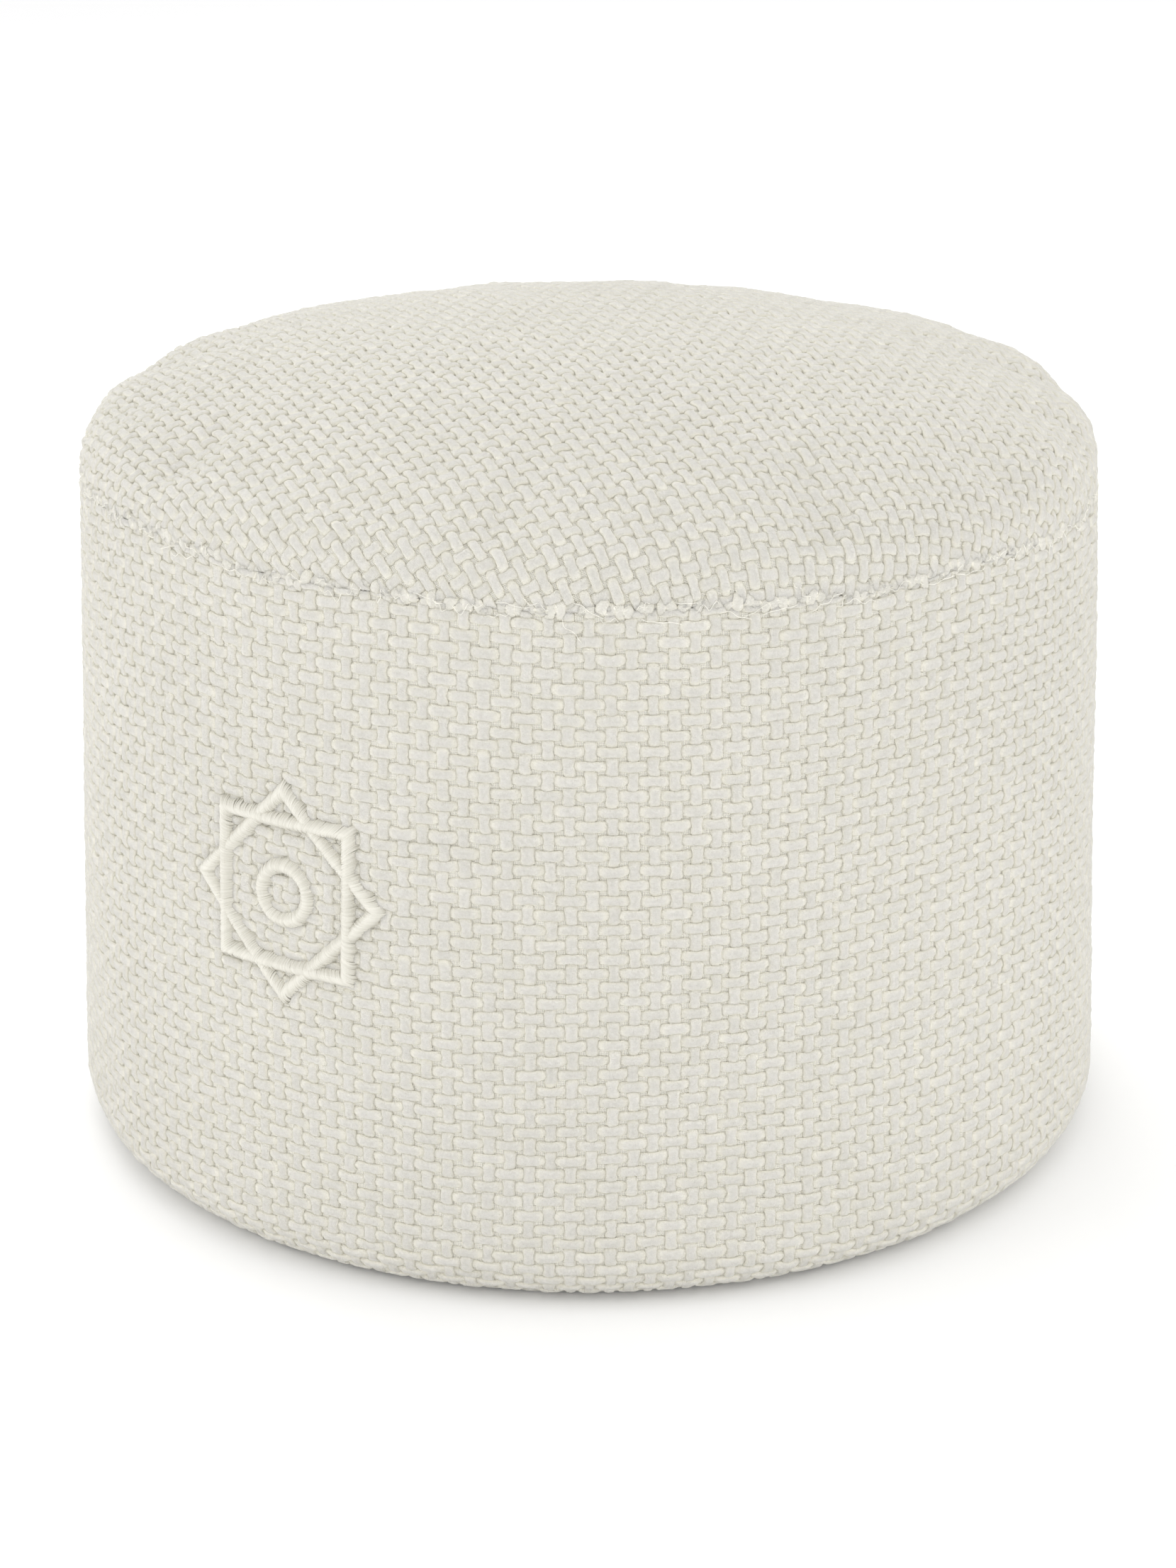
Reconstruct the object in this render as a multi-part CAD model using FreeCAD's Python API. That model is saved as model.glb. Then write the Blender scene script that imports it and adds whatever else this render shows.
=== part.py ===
"""Round woven-fabric pouf: a zip-off cover over a sewn liner and its filling.

Millimetres, Z up. The floor is z = 0, the origin is the middle of the base, and
the embroidered side faces -Y. The zip runs along X across the underside and is
closed when its slider stands at the +X end.
"""
import FreeCAD, Part
import math
import os

# Outer form
BASE_RADIUS = 150.0
SHOULDER_RADIUS = 143.4
SHOULDER_HEIGHT = 212.0
SHOULDER_ROUND = 17.0
SHOULDER_TURN = 70.0
CROWN_RISE = 18.0
CROWN_POWER = 2.6
BASE_ROUND = 14.7
SEAM_HEIGHT = 192.0

# Layers, each given by how far it lies in from the outer form
COVER_THICKNESS = 4.5
BACKING_INSET = 4.6
BACKING_THICKNESS = 0.3
LINER_INSET = 5.0
LINER_THICKNESS = 0.8
FILLING_INSET = 5.9
STITCH_INSET = 2.2
STITCH_RADIUS = 0.6
LINER_STITCH_RADIUS = 0.25
CLOSING_SLOT = 0.8

# Embroidered star on the front left
STAR_AZIMUTH = 33.0
STAR_HEIGHT = 108.0
STAR_RADIUS = 31.0
STAR_COLUMN = 4.2
STAR_RAISE = 1.3
CENTRE_RADIUS = 9.5
BACKING_SIZE = 84.0

# Zip across the underside
ZIP_CLOSED_END = 125.0
ZIP_OPEN_END = -112.5
SLOT_HALF_WIDTH = 6.0
SLOT_HALF_LENGTH = 129.0
COIL_INNER = 0.1
COIL_WIDTH = 2.5
COIL_LOW = 3.1
COIL_CLOSED_END = 122.8
TAPE_INNER = 0.8
TAPE_OUTER = 16.0
TAPE_THICKNESS = 0.6
STOP_LENGTH = 2.5
STOP_REACH = 3.0
STOP_LOW = 2.9
STITCH_ROW = 8.5
STITCH_WIDTH = 0.6
STITCH_DEPTH = 0.6
CHANNEL_HALF_WIDTH = 17.0
CHANNEL_HALF_LENGTH = 133.0
CHANNEL_TOP = 6.8

# Slider, its parts given by their heights above the floor
SLIDER_X = 119.0
SLIDER_LENGTH = 11.0
SLIDER_WIDTH = 9.2
OUTER_PLATE = (1.9, 2.8)
INNER_PLATE = (5.5, 6.4)
NECK_WIDTH = 1.4
NECK_LENGTH = 1.5
FLANGE_TOP = 3.9
FLANGE_WIDTH = 0.7
CROWN_LOW = 0.5
CROWN_WALL = 0.45
CROWN_HALF_LENGTH = 3.2
CROWN_LEG = 0.8
CROWN_WIDTH = 2.6

# Pull tab, hinged in the slider's crown
TAB_AXIS_Z = 1.42
TAB_BAR_RADIUS = 0.35
TAB_THICKNESS = 0.7
TAB_WIDTH = 6.0
TAB_LENGTH = 22.0
TAB_EYE_WIDTH = 3.6
TAB_EYE_LENGTH = 3.9
TAB_GRIP_HOLE = 1.2

FAR = 400.0


def vec(x, y, z):
    return FreeCAD.Vector(x, y, z)


def box(x_range, y_range, z_range):
    """Box between the given low and high values on each axis."""
    low = vec(x_range[0], y_range[0], z_range[0])
    size = [r[1] - r[0] for r in (x_range, y_range, z_range)]
    return Part.makeBox(size[0], size[1], size[2], low)


def pillar(radius, low=-FAR, high=FAR):
    """Upright cylinder about the Z axis."""
    return Part.makeCylinder(radius, high - low, vec(0, 0, low))


def wall_radius(height):
    """Outer radius of the straight, slightly tapered wall."""
    wall_top = SHOULDER_HEIGHT - SHOULDER_ROUND
    share = (height - BASE_ROUND) / (wall_top - BASE_ROUND)
    return BASE_RADIUS + (SHOULDER_RADIUS - BASE_RADIUS) * share


def on_arc(centre, radius, angle):
    """Point on an arc in the XZ plane; the angle is in degrees up from +X."""
    turn = math.radians(angle)
    return vec(centre.x + radius * math.cos(turn), 0, centre.z + radius * math.sin(turn))


def form(inset):
    """Solid of the whole pouf, drawn in from the outer form by inset."""
    base_centre = vec(BASE_RADIUS - BASE_ROUND, 0, BASE_ROUND)
    base_round = BASE_ROUND - inset
    top_centre = vec(SHOULDER_RADIUS - SHOULDER_ROUND, 0, SHOULDER_HEIGHT - SHOULDER_ROUND)
    top_round = SHOULDER_ROUND - inset
    foot = on_arc(base_centre, base_round, -90)
    wall_low = on_arc(base_centre, base_round, 0)
    wall_high = on_arc(top_centre, top_round, 0)
    rim = on_arc(top_centre, top_round, SHOULDER_TURN)
    crown = []
    for share in (1.0, 0.85, 0.65, 0.45, 0.25, 0.0):
        rise = CROWN_RISE * (1 - share ** CROWN_POWER)
        crown.append(vec(rim.x * share, 0, rim.z + rise))
    crown_curve = Part.BSplineCurve()
    crown_curve.interpolate(crown)
    edges = [
        Part.LineSegment(vec(0, 0, inset), foot).toShape(),
        Part.Arc(foot, on_arc(base_centre, base_round, -45), wall_low).toShape(),
        Part.LineSegment(wall_low, wall_high).toShape(),
        Part.Arc(wall_high, on_arc(top_centre, top_round, SHOULDER_TURN / 2), rim).toShape(),
        crown_curve.toShape(),
        Part.LineSegment(crown[-1], vec(0, 0, inset)).toShape(),
    ]
    outline = Part.Face(Part.Wire(edges))
    return outline.revolve(vec(0, 0, 0), vec(0, 0, 1), 360)


def layer(outer_inset, inner_inset):
    """Closed shell between two insets."""
    return form(outer_inset).cut(form(inner_inset))


def ring(radius, height, thickness_radius):
    """Thread lying in a circle about the Z axis."""
    return Part.makeTorus(radius, thickness_radius, vec(0, 0, height), vec(0, 0, 1))


def seam_thread_top():
    return ring(wall_radius(SEAM_HEIGHT) - STITCH_INSET, SEAM_HEIGHT, STITCH_RADIUS)


def seam_thread_base():
    return ring(BASE_RADIUS - BASE_ROUND, STITCH_INSET, STITCH_RADIUS)


def closing_slot():
    """The joint in the side band, at the back, from the base seam to the top seam."""
    half = CLOSING_SLOT / 2
    return box((-half, half), (0, FAR), (BASE_ROUND, SEAM_HEIGHT - STITCH_INSET))


def seam_thread_back():
    inner = STITCH_INSET + 2 * STITCH_RADIUS
    return layer(STITCH_INSET, inner).common(closing_slot())


def cover_top_panel():
    above = pillar(FAR, SEAM_HEIGHT, FAR)
    return layer(0, COVER_THICKNESS).common(above).cut(seam_thread_top())


def band_region():
    """Everything that belongs to the side: below the top seam and outside the base seam."""
    base = pillar(BASE_RADIUS - BASE_ROUND, -FAR, BASE_ROUND)
    return pillar(FAR, -FAR, SEAM_HEIGHT).cut(base)


def cover_side_band():
    band = layer(0, COVER_THICKNESS).common(band_region()).cut(closing_slot())
    return band.cut(seam_thread_top().fuse(seam_thread_base()))


def zip_stitches():
    """Two straight rows of stitches that hold the panel's edges to the zip tapes."""
    rows = []
    x_range = (-SLOT_HALF_LENGTH, SLOT_HALF_LENGTH)
    z_range = (COVER_THICKNESS - STITCH_DEPTH, COVER_THICKNESS)
    for side in (-1, 1):
        low = side * STITCH_ROW - STITCH_WIDTH / 2
        rows.append(box(x_range, (low, low + STITCH_WIDTH), z_range))
    return Part.makeCompound(rows)


def cover_base_panel(side):
    """Half of the base, in front (side -1) or behind (side 1) of the zip."""
    disc = pillar(BASE_RADIUS - BASE_ROUND, 0, COVER_THICKNESS)
    half = box((-FAR, FAR), sorted((0, side * FAR)), (-FAR, FAR))
    slot_x = (-SLOT_HALF_LENGTH, SLOT_HALF_LENGTH)
    slot = box(slot_x, (-SLOT_HALF_WIDTH, SLOT_HALF_WIDTH), (-1, COVER_THICKNESS + 1))
    panel = disc.common(half).cut(slot).cut(seam_thread_base())
    for row in zip_stitches().Solids:
        panel = panel.cut(row)
    return panel


def zip_tape(side):
    y_range = sorted((side * TAPE_INNER, side * TAPE_OUTER))
    z_range = (COVER_THICKNESS, COVER_THICKNESS + TAPE_THICKNESS)
    return box((-SLOT_HALF_LENGTH, SLOT_HALF_LENGTH), y_range, z_range)


def zip_coil(side):
    y_range = sorted((side * COIL_INNER, side * (COIL_INNER + COIL_WIDTH)))
    return box((ZIP_OPEN_END, COIL_CLOSED_END), y_range, (COIL_LOW, COVER_THICKNESS))


def zip_top_stops():
    """One stop on each tape, just past the closed end of the coil."""
    stops = []
    for side in (-1, 1):
        y_range = sorted((side * TAPE_INNER, side * STOP_REACH))
        x_range = (ZIP_CLOSED_END, ZIP_CLOSED_END + STOP_LENGTH)
        stops.append(box(x_range, y_range, (STOP_LOW, COVER_THICKNESS)))
    return Part.makeCompound(stops)


def zip_base_stop():
    """One stop across both tapes at the open end of the coil."""
    x_range = (ZIP_OPEN_END - STOP_LENGTH, ZIP_OPEN_END)
    return box(x_range, (-STOP_REACH, STOP_REACH), (STOP_LOW, COVER_THICKNESS))


def zip_slider():
    """Two plates joined by a neck, with side flanges and a crown for the pull tab."""
    tail, nose = SLIDER_X - SLIDER_LENGTH / 2, SLIDER_X + SLIDER_LENGTH / 2
    half = SLIDER_WIDTH / 2
    body = box((tail, nose), (-half, half), OUTER_PLATE)
    body = body.fuse(box((tail, nose), (-half, half), INNER_PLATE))
    neck_z = (OUTER_PLATE[1], INNER_PLATE[0])
    body = body.fuse(box((nose - NECK_LENGTH, nose), (-NECK_WIDTH / 2, NECK_WIDTH / 2), neck_z))
    for side in (-1, 1):
        flange_y = sorted((side * half, side * (half - FLANGE_WIDTH)))
        body = body.fuse(box((tail, nose), flange_y, (OUTER_PLATE[1], FLANGE_TOP)))
    crown_x = (SLIDER_X - CROWN_HALF_LENGTH, SLIDER_X + CROWN_HALF_LENGTH)
    crown = box(crown_x, (-CROWN_WIDTH / 2, CROWN_WIDTH / 2), (CROWN_LOW, OUTER_PLATE[0]))
    hole_x = (crown_x[0] + CROWN_LEG, crown_x[1] - CROWN_LEG)
    hole = box(hole_x, (-CROWN_WIDTH, CROWN_WIDTH), (CROWN_LOW + CROWN_WALL, OUTER_PLATE[0]))
    return body.fuse(crown.cut(hole)).removeSplitter()


def zip_pull_tab():
    """Flat tab with an eye round the crown, a round hinge bar and a grip hole."""
    low = TAB_AXIS_Z - TAB_THICKNESS / 2
    high = TAB_AXIS_Z + TAB_THICKNESS / 2
    end = SLIDER_X - TAB_LENGTH
    tab = box((end, SLIDER_X), (-TAB_WIDTH / 2, TAB_WIDTH / 2), (low, high))
    eye_half = TAB_EYE_WIDTH / 2
    tab = tab.cut(box((SLIDER_X - TAB_EYE_LENGTH, SLIDER_X + 1), (-eye_half, eye_half), (low - 1, high + 1)))
    hole_x = end + 2.5 * TAB_GRIP_HOLE
    tab = tab.cut(Part.makeCylinder(TAB_GRIP_HOLE, 4, vec(hole_x, 0, low - 2)))
    bar_start = vec(SLIDER_X, -TAB_WIDTH / 2, TAB_AXIS_Z)
    bar = Part.makeCylinder(TAB_BAR_RADIUS, TAB_WIDTH, bar_start, vec(0, 1, 0))
    return tab.fuse(bar).removeSplitter()


def liner_channel(extra):
    """The groove over the zip, grown by extra on its sides and roof."""
    reach_x = CHANNEL_HALF_LENGTH + extra
    reach_y = CHANNEL_HALF_WIDTH + extra
    return box((-reach_x, reach_x), (-reach_y, reach_y), (LINER_INSET, CHANNEL_TOP + extra))


def liner_shell():
    return layer(LINER_INSET, LINER_INSET + LINER_THICKNESS)


def liner_thread(height_inset):
    """Thread in the top or the base seam of the liner."""
    middle = LINER_INSET + LINER_THICKNESS / 2
    if height_inset == "top":
        return ring(wall_radius(SEAM_HEIGHT) - middle, SEAM_HEIGHT, LINER_STITCH_RADIUS)
    return ring(BASE_RADIUS - BASE_ROUND, middle, LINER_STITCH_RADIUS)


def liner_top_panel():
    above = pillar(FAR, SEAM_HEIGHT, FAR)
    return liner_shell().common(above).cut(liner_thread("top"))


def liner_side_band():
    band = liner_shell().common(band_region())
    return band.cut(liner_thread("top").fuse(liner_thread("base")))


def liner_base_panel():
    """Flat disc with a shallow raised channel that clears the zip's slider."""
    disc = pillar(BASE_RADIUS - BASE_ROUND, LINER_INSET, LINER_INSET + LINER_THICKNESS)
    raised = liner_channel(LINER_THICKNESS).common(pillar(BASE_RADIUS - BASE_ROUND))
    panel = disc.fuse(raised).cut(liner_channel(0))
    return panel.cut(liner_thread("base")).removeSplitter()


def filling():
    return form(FILLING_INSET).cut(liner_channel(LINER_THICKNESS + 0.1))


def star_frame(shape):
    """Turns a shape drawn round the origin, facing -Y, to the star's place on the wall."""
    placed = shape.copy()
    placed.translate(vec(0, 0, STAR_HEIGHT))
    placed.rotate(vec(0, 0, 0), vec(0, 0, 1), -STAR_AZIMUTH)
    return placed


def prism(points):
    """Prism of a closed outline given in the XZ plane, reaching from the axis to -Y."""
    corners = [vec(x, 0, z) for x, z in points]
    face = Part.Face(Part.makePolygon(corners + corners[:1]))
    return face.extrude(vec(0, -BASE_RADIUS - 10, 0))


def square(half_diagonal, turn):
    """Corners of a square, the first one at the given turn in degrees."""
    corners = []
    for step in range(4):
        angle = math.radians(turn + 90 * step)
        corners.append((half_diagonal * math.cos(angle), half_diagonal * math.sin(angle)))
    return corners


def embroidery_star():
    """Two square rings of satin stitch, an eighth of a turn apart, raised on the wall."""
    inner = STAR_RADIUS - STAR_COLUMN * math.sqrt(2)
    star = None
    for turn in (0, 45):
        outline = prism(square(STAR_RADIUS, turn)).cut(prism(square(inner, turn)))
        star = outline if star is None else star.fuse(outline)
    return layer(-STAR_RAISE, 0).common(star_frame(star))


def embroidery_centre():
    """Ring of satin stitch in the middle of the star."""
    reach = BASE_RADIUS + 10
    outer = Part.makeCylinder(CENTRE_RADIUS, reach, vec(0, 0, 0), vec(0, -1, 0))
    inner = Part.makeCylinder(CENTRE_RADIUS - STAR_COLUMN, reach, vec(0, 0, 0), vec(0, -1, 0))
    return layer(-STAR_RAISE, 0).common(star_frame(outer.cut(inner)))


def embroidery_backing():
    """Thin stabiliser patch inside the cover, behind the star."""
    half = BACKING_SIZE / 2
    patch = box((-half, half), (-BASE_RADIUS - 10, 0), (-half, half))
    inner = BACKING_INSET + BACKING_THICKNESS
    return layer(BACKING_INSET, inner).common(star_frame(patch))


def write(name, shape):
    """Writes one node, as its one solid or as a group of separate solids."""
    solids = shape.Solids
    solid = solids[0] if len(solids) == 1 else Part.makeCompound(solids)
    solid.exportStep(os.path.join("parts", name + ".step"))
    print(f"{name}: {len(solids)} solid(s), {solid.Volume / 1000:.2f} cm3, valid {solid.isValid()}")


def main():
    os.makedirs("parts", exist_ok=True)
    write("cover_top_panel", cover_top_panel())
    write("cover_side_band", cover_side_band())
    write("cover_base_panel_front", cover_base_panel(-1))
    write("cover_base_panel_back", cover_base_panel(1))
    write("seam_thread_top", seam_thread_top())
    write("seam_thread_base", seam_thread_base())
    write("seam_thread_back", seam_thread_back())
    write("embroidery_star", embroidery_star())
    write("embroidery_centre", embroidery_centre())
    write("embroidery_backing", embroidery_backing())
    write("zip_tape_front", zip_tape(-1))
    write("zip_tape_back", zip_tape(1))
    write("zip_coil_front", zip_coil(-1))
    write("zip_coil_back", zip_coil(1))
    write("zip_stitches", zip_stitches())
    write("zip_top_stops", zip_top_stops())
    write("zip_base_stop", zip_base_stop())
    write("zip_slider", zip_slider())
    write("zip_pull_tab", zip_pull_tab())
    write("liner_top_panel", liner_top_panel())
    write("liner_side_band", liner_side_band())
    write("liner_base_panel", liner_base_panel())
    write("liner_thread_top", liner_thread("top"))
    write("liner_thread_base", liner_thread("base"))
    write("filling", filling())


main()
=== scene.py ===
"""Round pouf in chunky woven chenille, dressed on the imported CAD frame.

The cover is woven yarn by yarn over a backing cloth, and the backing follows a
skin: the outer form from the CAD, moved in and out by a cloth simulation and
drawn in at its seams. Shapes are worked out in millimetres and written in metres.

Two coordinates lie on the skin. The turn is the angle round the Z axis, zero at
the front (-Y) and growing towards +X. The reach is the distance from the middle
of the top, out over the shoulder and down the wall to the edge of the base.
"""
import math

import bpy
import numpy as np
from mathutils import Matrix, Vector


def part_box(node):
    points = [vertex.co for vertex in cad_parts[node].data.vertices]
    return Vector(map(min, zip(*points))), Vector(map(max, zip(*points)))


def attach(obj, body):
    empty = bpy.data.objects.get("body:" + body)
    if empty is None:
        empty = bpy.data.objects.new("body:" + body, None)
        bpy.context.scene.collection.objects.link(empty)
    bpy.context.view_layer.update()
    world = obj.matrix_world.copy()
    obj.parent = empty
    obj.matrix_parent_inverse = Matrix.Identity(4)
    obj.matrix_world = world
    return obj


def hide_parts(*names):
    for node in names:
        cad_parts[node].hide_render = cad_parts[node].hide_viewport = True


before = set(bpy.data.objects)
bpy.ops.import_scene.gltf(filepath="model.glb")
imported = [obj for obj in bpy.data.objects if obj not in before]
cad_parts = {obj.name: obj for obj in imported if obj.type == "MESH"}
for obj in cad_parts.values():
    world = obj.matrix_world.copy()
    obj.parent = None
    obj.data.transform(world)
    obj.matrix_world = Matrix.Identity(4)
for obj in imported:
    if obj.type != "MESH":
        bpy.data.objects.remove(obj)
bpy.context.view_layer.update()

MM = 0.001
SEED = 11
random = np.random.default_rng(SEED)


def extent(node):
    """Lowest and highest corner of a CAD node, in millimetres."""
    low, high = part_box(node)
    return np.array(low) / MM, np.array(high) / MM


# Sizes read from the frame
TOP_LOW, TOP_HIGH = extent("cover_top_panel")
STAR_LOW, STAR_HIGH = extent("embroidery_star")
STITCH_LOW, STITCH_HIGH = extent("zip_stitches")

BASE_RADIUS = extent("cover_side_band")[1][0]
PANEL_RADIUS = extent("cover_base_panel_front")[1][0]
BASE_ROUND = BASE_RADIUS - PANEL_RADIUS
TOP_Z = TOP_HIGH[2]
SEAM_Z = TOP_LOW[2]
SLOT_HALF_LENGTH = extent("zip_tape_back")[1][0]
STAR_RADIUS = (STAR_HIGH[2] - STAR_LOW[2]) / 2
STAR_Z = (STAR_HIGH[2] + STAR_LOW[2]) / 2

# The zip's slot, the shoulder and the crown, as in the CAD form
SLOT_HALF_WIDTH = 6.0
SHOULDER_RADIUS = 143.4
SHOULDER_ROUND = 17.0
SHOULDER_TURN = math.radians(70)
CROWN_RISE = 18.0
CROWN_POWER = 2.6

# Weave. A flare is how much a yarn widens between crossings, as a share of its width.
WARP_COUNT = 172
WARP_PITCH = 5.36
WEFT_PITCH = 4.02
WARP_HALF_WIDTH = 1.42
WEFT_HALF_WIDTH = 1.36
WARP_FLARE = 0.20
WEFT_FLARE = 0.09
NIP = 0.10
YARN_HALF_THICKNESS = 0.72
YARN_HALF_GIRTH = 2.4
WEAVE_SWING = 0.45
WEAVE_INSET = 1.15
WARP_SINK = 0.10
FUZZ = 0.05
MOST_TUCK = 1.3
TOP_WEFT_ANGLE = math.radians(-67)

# Depths of the layers under the skin, and the height of the base off the floor
BACKING_INSET = 1.30
CORE_INSET = 5.5
BASE_CLEARANCE = 0.35

# Seams and slackness
SEAM_DEPTH = 0.3
BASE_SEAM_DEPTH = 1.4
SEAM_HALF_WIDTH = 4.5
SEAM_TILT = 2.6
SEAM_WANDER = 1.2
SEAM_DROP_FADE = 42
CROWN_TILT = 1.4
CROWN_EDGE = 26
SHOULDER_MIDDLE = 24
SHOULDER_SPREAD = 15
BACK_SHOULDER_RISE = 1.1
FRONT_SHOULDER_FALL = 2.0
PUCKER_HEIGHT = 0.8
PUCKER_FADE = 14.0
MOST_BILLOW = 6.0

# Cloth simulation
CLOTH_COLUMNS = 168
CLOTH_TOP_ROWS = 30
CLOTH_SIDE_ROWS = 36
CLOTH_FRAMES = 20
PRESSURE = 4
SLACK = 0.035
SLACK_FADE = 25
START_RIPPLE = 0.7

# Loose ends along the top seam
SEAM_END_SPACING = 2.6
SEAM_END_HALF_LENGTHS = (1.5, 2.7)
SEAM_END_TURN = 0.75
WISP_COUNT = 150
WISP_HALF_LENGTHS = (1.5, 6.0)
WISP_RADIUS = 0.075

# Sewing thread. A stitch covers this share of its pitch.
STITCH_PITCH = 4.0
ZIP_STITCH_PITCH = 3.0
STITCH_COVER = 0.8
SEWING_THREAD_RADIUS = 0.3
ZIP_THREAD_RADIUS = 0.28
STITCH_SHARE = np.linspace(-0.5, 0.5, 7)

# Embroidered star
STAR_AZIMUTH = math.radians(-33)
STAR_COLUMN = 4.2
RING_RADIUS = 7.4
SATIN_CROWN = 1.5
SATIN_SEAT = -1.6
SECOND_SQUARE_RISE = 0.45
PADDING_GAP = 0.14
PADDING_SEAT = -2.2
STITCH_PULL = 0.9
STITCH_PULL_REACH = 3.4
THREAD_PITCH = 0.33
THREAD_RADIUS = 0.23

# Zip: its metal edges and its coil
EDGE_ROUND = 0.15
COIL_WIRE_RADIUS = 0.27
COIL_PITCH = 1.5
COIL_STEPS = 14


# ---- mesh helpers


def add_object(name, data):
    thing = bpy.data.objects.new(name, data)
    bpy.context.scene.collection.objects.link(thing)
    return thing


def add_mesh(name, points, quads, uv, values=None):
    """Object from an array of points in millimetres and an array of quads.

    uv holds one pair for each point, and values is a dict of numbers for each point."""
    used, quads = np.unique(quads, return_inverse=True)
    quads = quads.reshape(-1, 4)
    points = np.asarray(points, float)[used] * MM
    mesh = bpy.data.meshes.new(name)
    mesh.vertices.add(len(points))
    mesh.vertices.foreach_set("co", points.ravel())
    mesh.loops.add(quads.size)
    mesh.loops.foreach_set("vertex_index", quads.ravel().astype(np.int32))
    mesh.polygons.add(len(quads))
    mesh.polygons.foreach_set("loop_start", np.arange(0, quads.size, 4, dtype=np.int32))
    mesh.update(calc_edges=True)
    mesh.polygons.foreach_set("use_smooth", np.ones(len(quads), bool))
    layer = mesh.uv_layers.new(name="cloth")
    layer.data.foreach_set("uv", uv[used][quads.ravel()].ravel().astype(np.float32))
    for key, numbers in (values or {}).items():
        attribute = mesh.attributes.new(key, "FLOAT", "POINT")
        attribute.data.foreach_set("value", numbers[used].astype(np.float32))
    mesh.validate()
    return add_object(name, mesh)


def grid_quads(rows, columns, closed=False, count=1):
    """Quads of count grids, one after another, whose points run row by row.

    closed joins the last column to the first."""
    index = np.arange(count * rows * columns).reshape(count, rows, columns)
    after = np.roll(index, -1, 2) if closed else index[..., 1:]
    before = index if closed else index[..., :-1]
    corners = [before[:, :-1], before[:, 1:], after[:, 1:], after[:, :-1]]
    return np.stack(corners, -1).reshape(-1, 4)


def stack(parts):
    """One (points, quads, uv, values) from a list of them."""
    points, quads, uv, values = zip(*parts)
    firsts = np.cumsum([0] + [len(part) for part in points])
    quads = [part + first for part, first in zip(quads, firsts)]
    values = {key: np.concatenate([part[key] for part in values]) for key in values[0]}
    return np.concatenate(points), np.concatenate(quads), np.concatenate(uv), values


def tubes(paths, ups, radius, sides=6):
    """Round strands of one radius along paths, an array (strand, step, xyz); ups are normals."""
    along = np.gradient(paths, axis=1)
    along /= np.linalg.norm(along, axis=-1, keepdims=True) + 1e-9
    across = np.cross(along, ups)
    across /= np.linalg.norm(across, axis=-1, keepdims=True) + 1e-9
    lift = np.cross(across, along)
    angle = np.linspace(0, 2 * math.pi, sides, endpoint=False)
    circle = across[:, :, None] * np.cos(angle)[:, None]
    circle = circle + lift[:, :, None] * np.sin(angle)[:, None]
    points = paths[:, :, None] + circle * radius
    strands, steps = paths.shape[:2]
    quads = grid_quads(steps, sides, closed=True, count=strands)
    length = np.cumsum(np.linalg.norm(np.diff(paths, axis=1, prepend=paths[:, :1]), axis=-1), 1)
    uv = np.zeros(points.shape[:3] + (2,))
    uv[..., 0] = length[:, :, None]
    uv[..., 1] = angle
    tone = np.broadcast_to(random.random(strands)[:, None, None], points.shape[:3])
    values = {"tone": tone.ravel(), "crest": np.ones(tone.size)}
    return points.reshape(-1, 3), quads, uv.reshape(-1, 2), values


def laid(place, first, second, lift, radius):
    """Round strands over a surface whose place(first, second, lift) gives points off it."""
    paths = place(first, second, lift)
    return tubes(paths, place(first, second, lift + 1) - paths, radius)


# ---- the skin


def profile(step=0.25):
    """Radius and height down the outside of the form, evenly spaced by reach."""
    rim_z = TOP_Z - CROWN_RISE
    centre_r = SHOULDER_RADIUS - SHOULDER_ROUND
    centre_z = rim_z - SHOULDER_ROUND * math.sin(SHOULDER_TURN)
    rim_r = centre_r + SHOULDER_ROUND * math.cos(SHOULDER_TURN)
    share = np.linspace(0, 1, 300)
    turn = np.linspace(SHOULDER_TURN, 0, 80)[1:]
    foot = np.linspace(0, -math.pi / 2, 80)
    radius = np.concatenate([
        rim_r * share,
        centre_r + SHOULDER_ROUND * np.cos(turn),
        PANEL_RADIUS + BASE_ROUND * np.cos(foot),
    ])
    height = np.concatenate([
        rim_z + CROWN_RISE * (1 - share ** CROWN_POWER),
        centre_z + SHOULDER_ROUND * np.sin(turn),
        BASE_ROUND * (1 + np.sin(foot)),
    ])
    run = np.concatenate([[0], np.cumsum(np.hypot(np.diff(radius), np.diff(height)))])
    reach = np.linspace(0, run[-1], int(run[-1] / step) + 1)
    return reach, np.interp(reach, run, radius), np.interp(reach, run, height)


REACH, PROFILE_R, PROFILE_Z = profile()
LENGTH = REACH[-1]
SEAM_REACH = float(np.interp(-SEAM_Z, -PROFILE_Z, REACH))


def lathe(turn, reach):
    """Point on the plain outer form."""
    r = np.interp(reach, REACH, PROFILE_R)
    z = np.interp(reach, REACH, PROFILE_Z)
    return np.stack([r * np.sin(turn), -r * np.cos(turn), z], -1)


def normals_of(points):
    """Outward normals of a grid of points over turn and reach, the turn closed on itself."""
    down = np.gradient(points, axis=1)
    round_ = np.roll(points, -1, 0) - np.roll(points, 1, 0)
    normal = np.cross(down, round_)
    size = np.linalg.norm(normal, axis=-1, keepdims=True)
    upright = np.array([0.0, 0.0, 1.0])
    return np.where(size > 1e-6, normal / np.maximum(size, 1e-6), upright)


def waves(turn, seed, counts, power=0.5):
    """Sum of smooth waves round the pouf, about 1 high."""
    draw = np.random.default_rng(seed)
    total = np.zeros_like(turn)
    for count in counts:
        total = total + draw.normal() * np.sin(count * turn + draw.uniform(0, 6.3)) / count ** power
    return total / np.abs(total).max()


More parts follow.
